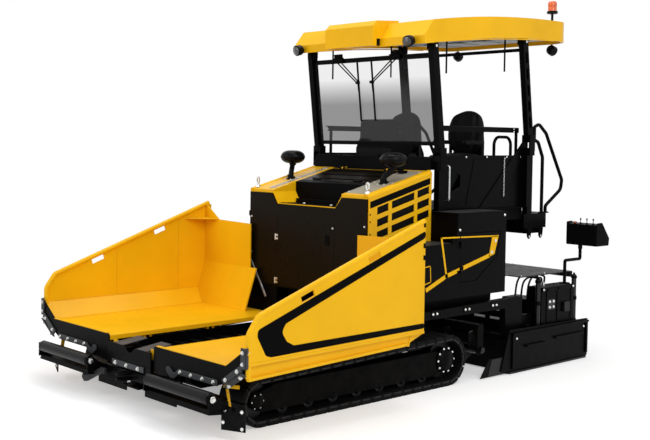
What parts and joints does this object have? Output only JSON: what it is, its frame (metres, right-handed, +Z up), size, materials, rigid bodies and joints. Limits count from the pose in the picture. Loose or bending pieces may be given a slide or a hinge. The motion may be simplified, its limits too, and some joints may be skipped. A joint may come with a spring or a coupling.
{
  "type": "tracked asphalt paver",
  "caption": "Tracked asphalt paver with folding hopper wings, push rollers, operator's station under a folding roof, auger and extending screed.",
  "frame": {"origin": "on the ground, under the middle of the machine's bounding box", "axes": "+Z up, -Y forwards over the hopper, +X to the machine's left"},
  "size_m": [3.24, 5.684, 4.0556],
  "materials": {
    "yellow_paint": "gloss",
    "black_paint": "satin",
    "rubber": "matt",
    "worn_steel": "worn",
    "chrome": "polished",
    "engine_iron": "matt",
    "grey_sheet": "satin",
    "glass": "clear tint",
    "black_plastic": "satin",
    "seat_vinyl": "matt",
    "orange_lens": "gloss"
  },
  "bodies": {
    "machine": {"access_handrails": "black_paint", "bulkhead": "black_paint", "chassis_frame": "black_paint", "conveyor": "worn_steel", "engine_block": "engine_iron", "guard_rails": "black_paint", "hood": "yellow_paint", "hood_front_wall": "black_paint", "hopper_nose": "black_paint", "mirrors": "black_plastic", "platform_floor": "black_paint", "platform_panels": "black_paint", "rear_deck": "black_paint", "side_body_left": "black_paint", "side_body_right": "black_paint", "track_frame_left": "black_paint", "track_frame_right": "black_paint", "track_left": "rubber", "track_right": "rubber", "track_wheels_left": "worn_steel", "track_wheels_right": "worn_steel"},
    "hopper_wing_left": {"hopper_wing_left": "yellow_paint", "wing_apron_left": "black_paint"},
    "hopper_cylinder_left": {"hopper_cylinder_left": "black_paint"},
    "hopper_rod_left": {"hopper_rod_left": "chrome"},
    "push_roller_left": {"push_roller_left": "worn_steel"},
    "side_door_left": {"side_door_left": "black_paint"},
    "seat_left": {"seat_left": "seat_vinyl"},
    "auger_left": {"auger_left": "worn_steel"},
    "screed_extension_left": {"screed_extension_left": "black_paint", "end_plate_left": "black_paint"},
    "remote_panel_left": {"remote_panel_left": "black_plastic"},
    "hopper_wing_right": {"hopper_wing_right": "yellow_paint", "wing_apron_right": "black_paint"},
    "hopper_cylinder_right": {"hopper_cylinder_right": "black_paint"},
    "hopper_rod_right": {"hopper_rod_right": "chrome"},
    "push_roller_right": {"push_roller_right": "worn_steel"},
    "side_door_right": {"side_door_right": "black_paint"},
    "seat_right": {"seat_right": "seat_vinyl"},
    "auger_right": {"auger_right": "worn_steel"},
    "screed_extension_right": {"screed_extension_right": "black_paint", "end_plate_right": "black_paint"},
    "remote_panel_right": {"remote_panel_right": "black_plastic"},
    "push_beam": {"push_beam": "black_paint"},
    "hood_lid": {"hood_lid": "grey_sheet"},
    "console": {"console": "black_plastic"},
    "steering_wheel": {"steering_wheel": "black_plastic"},
    "front_posts": {"front_posts": "black_paint", "windscreen": "glass"},
    "rear_posts": {"rear_posts": "black_paint"},
    "roof": {"roof_shell": "yellow_paint", "roof_frame": "black_paint", "roof_lamps": "black_plastic", "beacon": "orange_lens"},
    "auger_carriage": {"auger_carriage": "black_paint"},
    "screed": {"screed_base": "black_paint", "tow_arms": "black_paint", "screed_walkway": "grey_sheet"}
  },
  "joints": [
    {"name": "wing_left_fold", "type": "hinge", "parent": "machine", "child": "hopper_wing_left", "pos_m": [0.42, 0, 0.544], "axis": [0, -1, 0], "range_deg": [0, 45]},
    {"name": "hopper_cylinder_left_tilt", "type": "hinge", "parent": "machine", "child": "hopper_cylinder_left", "pos_m": [0.56, -1, 0.25], "axis": [0, -1, 0], "range_deg": [0, 29.98]},
    {"name": "hopper_rod_left_stroke", "type": "slide", "parent": "hopper_cylinder_left", "child": "hopper_rod_left", "axis": [0.7071, 0, 0.7071], "range_m": [0, 0.2136]},
    {"name": "push_roller_left_spin", "type": "hinge", "parent": "push_beam", "child": "push_roller_left", "pos_m": [0.91, -2.787, 0.355], "axis": [1, 0, 0], "continuous": true},
    {"name": "side_door_left_swing", "type": "hinge", "parent": "machine", "child": "side_door_left", "pos_m": [1.23, 0.42, 1.25], "axis": [0, 0, -1], "range_deg": [0, 110]},
    {"name": "seat_left_swivel", "type": "hinge", "parent": "machine", "child": "seat_left", "pos_m": [0.45, 1.265, 2.04], "axis": [0, 0, 1], "range_deg": [-30, 60]},
    {"name": "auger_left_spin", "type": "hinge", "parent": "auger_carriage", "child": "auger_left", "pos_m": [0.66, 0.78, 0.292], "axis": [1, 0, 0], "continuous": true},
    {"name": "screed_extension_left_slide", "type": "slide", "parent": "screed", "child": "screed_extension_left", "axis": [1, 0, 0], "range_m": [0, 0.6]},
    {"name": "remote_panel_left_swivel", "type": "hinge", "parent": "screed_extension_left", "child": "remote_panel_left", "pos_m": [1.15, 2.66, 1.215], "axis": [0, 0, 1], "range_deg": [-60, 60]},
    {"name": "wing_right_fold", "type": "hinge", "parent": "machine", "child": "hopper_wing_right", "pos_m": [-0.42, 0, 0.544], "axis": [0, 1, 0], "range_deg": [0, 45]},
    {"name": "hopper_cylinder_right_tilt", "type": "hinge", "parent": "machine", "child": "hopper_cylinder_right", "pos_m": [-0.56, -1, 0.25], "axis": [0, 1, 0], "range_deg": [0, 29.98]},
    {"name": "hopper_rod_right_stroke", "type": "slide", "parent": "hopper_cylinder_right", "child": "hopper_rod_right", "axis": [-0.7071, 0, 0.7071], "range_m": [0, 0.2136]},
    {"name": "push_roller_right_spin", "type": "hinge", "parent": "push_beam", "child": "push_roller_right", "pos_m": [-0.91, -2.787, 0.355], "axis": [1, 0, 0], "continuous": true},
    {"name": "side_door_right_swing", "type": "hinge", "parent": "machine", "child": "side_door_right", "pos_m": [-1.23, 0.42, 1.25], "axis": [0, 0, 1], "range_deg": [0, 110]},
    {"name": "seat_right_swivel", "type": "hinge", "parent": "machine", "child": "seat_right", "pos_m": [-0.45, 1.265, 2.04], "axis": [0, 0, -1], "range_deg": [-30, 60]},
    {"name": "auger_right_spin", "type": "hinge", "parent": "auger_carriage", "child": "auger_right", "pos_m": [-0.66, 0.78, 0.292], "axis": [1, 0, 0], "continuous": true},
    {"name": "screed_extension_right_slide", "type": "slide", "parent": "screed", "child": "screed_extension_right", "axis": [-1, 0, 0], "range_m": [0, 0.6]},
    {"name": "remote_panel_right_swivel", "type": "hinge", "parent": "screed_extension_right", "child": "remote_panel_right", "pos_m": [-1.15, 2.66, 1.215], "axis": [0, 0, -1], "range_deg": [-60, 60]},
    {"name": "push_beam_swivel", "type": "hinge", "parent": "machine", "child": "push_beam", "pos_m": [0, -2.606, 0.288], "axis": [0, 0, 1], "range_deg": [-5, 5]},
    {"name": "hood_lid_open", "type": "hinge", "parent": "machine", "child": "hood_lid", "pos_m": [0, 0.308, 2.10828], "axis": [-1, 0, 0], "range_deg": [0, 70]},
    {"name": "console_slide", "type": "slide", "parent": "machine", "child": "console", "axis": [1, 0, 0], "range_m": [-0.4, 0.6]},
    {"name": "steering_wheel_turn", "type": "hinge", "parent": "console", "child": "steering_wheel", "pos_m": [0.02, 0.8, 2.47], "axis": [0, 0.5, 0.866], "range_deg": [-135, 135]},
    {"name": "roof_fold", "type": "hinge", "parent": "machine", "child": "front_posts", "pos_m": [0, 0.48, 2.31], "axis": [1, 0, 0], "range_deg": [0, 60]},
    {"name": "rear_posts_fold", "type": "hinge", "parent": "machine", "child": "rear_posts", "pos_m": [0, 1.995, 2.46], "axis": [1, 0, 0], "range_deg": [0, 60]},
    {"name": "roof_level", "type": "hinge", "parent": "front_posts", "child": "roof", "pos_m": [0, 0.345, 3.37], "axis": [-1, 0, 0], "range_deg": [0, 60]},
    {"name": "auger_height", "type": "slide", "parent": "machine", "child": "auger_carriage", "axis": [0, 0, 1], "range_m": [0, 0.1]},
    {"name": "screed_lift", "type": "hinge", "parent": "machine", "child": "screed", "pos_m": [0, -0.35, 0.705], "axis": [1, 0, 0], "range_deg": [0, 8]}
  ],
  "couplings": [
    {"joint": "hopper_cylinder_left_tilt", "follows": "wing_left_fold", "ratio": 0.64392},
    {"joint": "hopper_rod_left_stroke", "follows": "wing_left_fold", "m_per_rad": 0.26559},
    {"joint": "hopper_cylinder_right_tilt", "follows": "wing_right_fold", "ratio": 0.64392},
    {"joint": "hopper_rod_right_stroke", "follows": "wing_right_fold", "m_per_rad": 0.26559},
    {"joint": "rear_posts_fold", "follows": "roof_fold", "ratio": 1},
    {"joint": "roof_level", "follows": "roof_fold", "ratio": 1}
  ]
}
